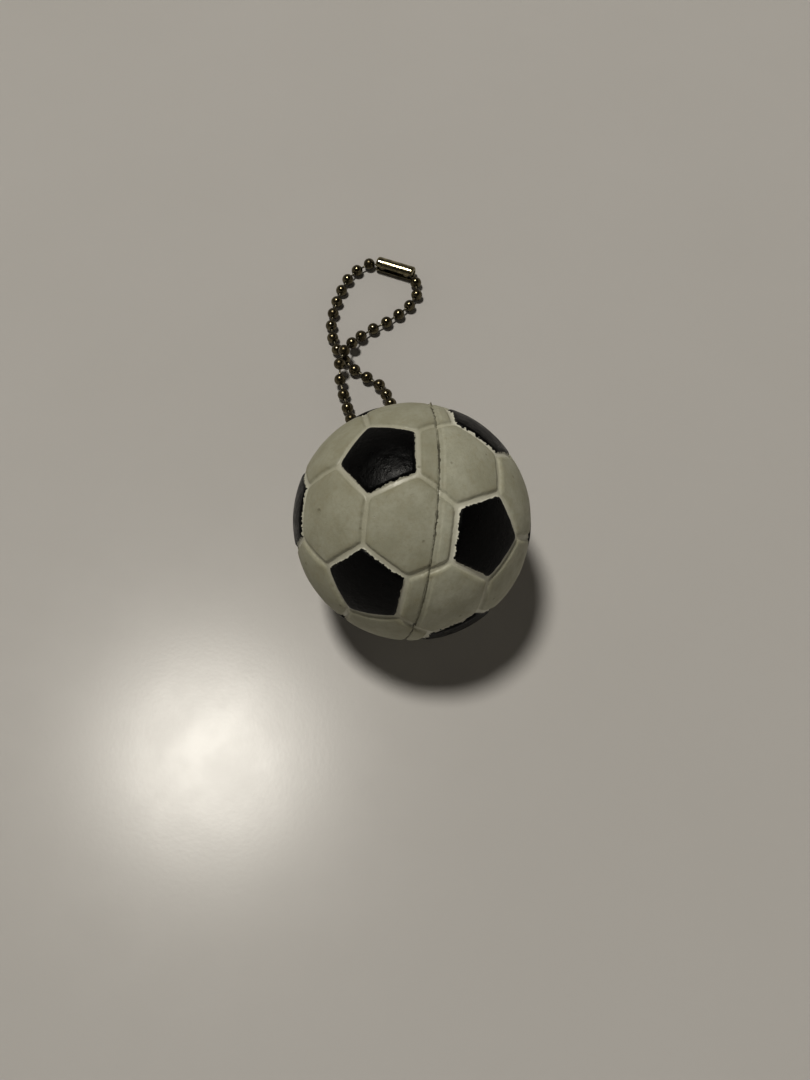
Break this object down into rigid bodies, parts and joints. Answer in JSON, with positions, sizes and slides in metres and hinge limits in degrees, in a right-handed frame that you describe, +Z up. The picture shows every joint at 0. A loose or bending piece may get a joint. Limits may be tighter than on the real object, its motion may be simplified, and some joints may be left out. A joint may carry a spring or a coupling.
{
  "type": "football charm on a ball chain loop",
  "caption": "Small moulded foam football charm with raised black and natural panels, a screw eye and a closed loop of metal ball chain with a tube clasp.",
  "frame": {"origin": "on the table, under the middle of the object's box, where the ball and the chain rest", "axes": "+Y from the ball along the chain to the clasp, +Z up from the table, +X to the right when +Y points away"},
  "size_m": [0.04, 0.0936, 0.04],
  "materials": {
    "foam": "matte",
    "black_coat": "satin",
    "eye_metal": "satin",
    "clasp_metal": "polished",
    "chain_metal": "polished"
  },
  "bodies": {
    "ball": {"foam_ball": "foam", "black_pentagons": "black_coat", "screw_eye": "eye_metal"},
    "loop_top": {"bead_18": "chain_metal", "bead_19": "chain_metal", "bead_20": "chain_metal", "bead_21": "chain_metal", "bead_22": "chain_metal", "bead_23": "chain_metal", "bead_24": "chain_metal", "bead_25": "chain_metal"},
    "link_01": {"bead_17": "chain_metal", "bead_26": "chain_metal"},
    "link_02": {"bead_16": "chain_metal", "bead_27": "chain_metal"},
    "link_03": {"bead_15": "chain_metal", "bead_28": "chain_metal"},
    "link_04": {"bead_14": "chain_metal", "bead_29": "chain_metal"},
    "link_05": {"bead_13": "chain_metal", "bead_30": "chain_metal"},
    "crossing": {"bead_09": "chain_metal", "bead_10": "chain_metal", "bead_11": "chain_metal", "bead_12": "chain_metal", "bead_31": "chain_metal", "bead_32": "chain_metal", "bead_33": "chain_metal"},
    "link_07": {"bead_08": "chain_metal", "bead_34": "chain_metal"},
    "link_08": {"bead_07": "chain_metal", "bead_35": "chain_metal"},
    "link_09": {"bead_06": "chain_metal", "bead_36": "chain_metal"},
    "link_10": {"bead_05": "chain_metal", "bead_37": "chain_metal"},
    "link_11": {"bead_04": "chain_metal", "bead_38": "chain_metal"},
    "link_12": {"bead_03": "chain_metal", "bead_39": "chain_metal"},
    "link_13": {"bead_02": "chain_metal", "bead_40": "chain_metal"},
    "clasp_end": {"bead_01": "chain_metal", "bead_41": "chain_metal", "clasp": "clasp_metal"}
  },
  "joints": [
    {"name": "chain_swing", "type": "hinge", "parent": "ball", "child": "loop_top", "pos_m": [-0.00603, -0.00544, 0.01133], "axis": [0.9674, 0.2346, -0.0953], "range_deg": [-85, 115]},
    {"name": "link_bend_01", "type": "hinge", "parent": "loop_top", "child": "link_01", "pos_m": [-0.00711, 0.00321, 0.00443], "axis": [-0.9445, -0.3229, -0.0607], "range_deg": [-20, 20]},
    {"name": "link_bend_02", "type": "hinge", "parent": "link_01", "child": "link_02", "pos_m": [-0.00791, 0.00593, 0.00289], "axis": [-0.9345, -0.3382, -0.1115], "range_deg": [-20, 20]},
    {"name": "link_bend_03", "type": "hinge", "parent": "link_02", "child": "link_03", "pos_m": [-0.00877, 0.00887, 0.00187], "axis": [-0.9399, -0.3276, -0.0964], "range_deg": [-20, 20]},
    {"name": "link_bend_04", "type": "hinge", "parent": "link_03", "child": "link_04", "pos_m": [-0.00989, 0.01184, 0.00146], "axis": [-0.9515, -0.3066, -0.0237], "range_deg": [-20, 20]},
    {"name": "link_bend_05", "type": "hinge", "parent": "link_04", "child": "link_05", "pos_m": [-0.01143, 0.01446, 0.00166], "axis": [-0.9679, -0.2244, 0.1135], "range_deg": [-20, 20]},
    {"name": "link_bend_06", "type": "hinge", "parent": "link_05", "child": "crossing", "pos_m": [-0.01285, 0.01693, 0.00222], "axis": [-0.8822, -0.0462, 0.4686], "range_deg": [-20, 20]},
    {"name": "link_bend_07", "type": "hinge", "parent": "crossing", "child": "link_07", "pos_m": [-0.01377, 0.02675, 0.00143], "axis": [-0.9036, 0.4229, -0.0686], "range_deg": [-20, 20]},
    {"name": "link_bend_08", "type": "hinge", "parent": "link_07", "child": "link_08", "pos_m": [-0.0125, 0.02944, 0.00123], "axis": [-0.9068, 0.4215, -0.0057], "range_deg": [-20, 20]},
    {"name": "link_bend_09", "type": "hinge", "parent": "link_08", "child": "link_09", "pos_m": [-0.01082, 0.0319, 0.0012], "axis": [-0.8946, 0.4469, -0.0001], "range_deg": [-20, 20]},
    {"name": "link_bend_10", "type": "hinge", "parent": "link_09", "child": "link_10", "pos_m": [-0.00906, 0.03444, 0.0012], "axis": [-0.8879, 0.4601, 0], "range_deg": [-20, 20]},
    {"name": "link_bend_11", "type": "hinge", "parent": "link_10", "child": "link_11", "pos_m": [-0.00729, 0.03708, 0.0012], "axis": [-0.8859, 0.4639, 0], "range_deg": [-20, 20]},
    {"name": "link_bend_12", "type": "hinge", "parent": "link_11", "child": "link_12", "pos_m": [-0.00553, 0.03977, 0.0012], "axis": [-0.8885, 0.4588, -0.0002], "range_deg": [-20, 20]},
    {"name": "link_bend_13", "type": "hinge", "parent": "link_12", "child": "link_13", "pos_m": [-0.0042, 0.04231, 0.00128], "axis": [-0.8902, 0.4555, -0.0008], "range_deg": [-20, 20]},
    {"name": "clasp_turn", "type": "hinge", "parent": "link_13", "child": "clasp_end", "pos_m": [-0.00344, 0.04371, 0.00146], "axis": [-0.9204, 0.391, -0.0005], "range_deg": [-12, 12]}
  ]
}
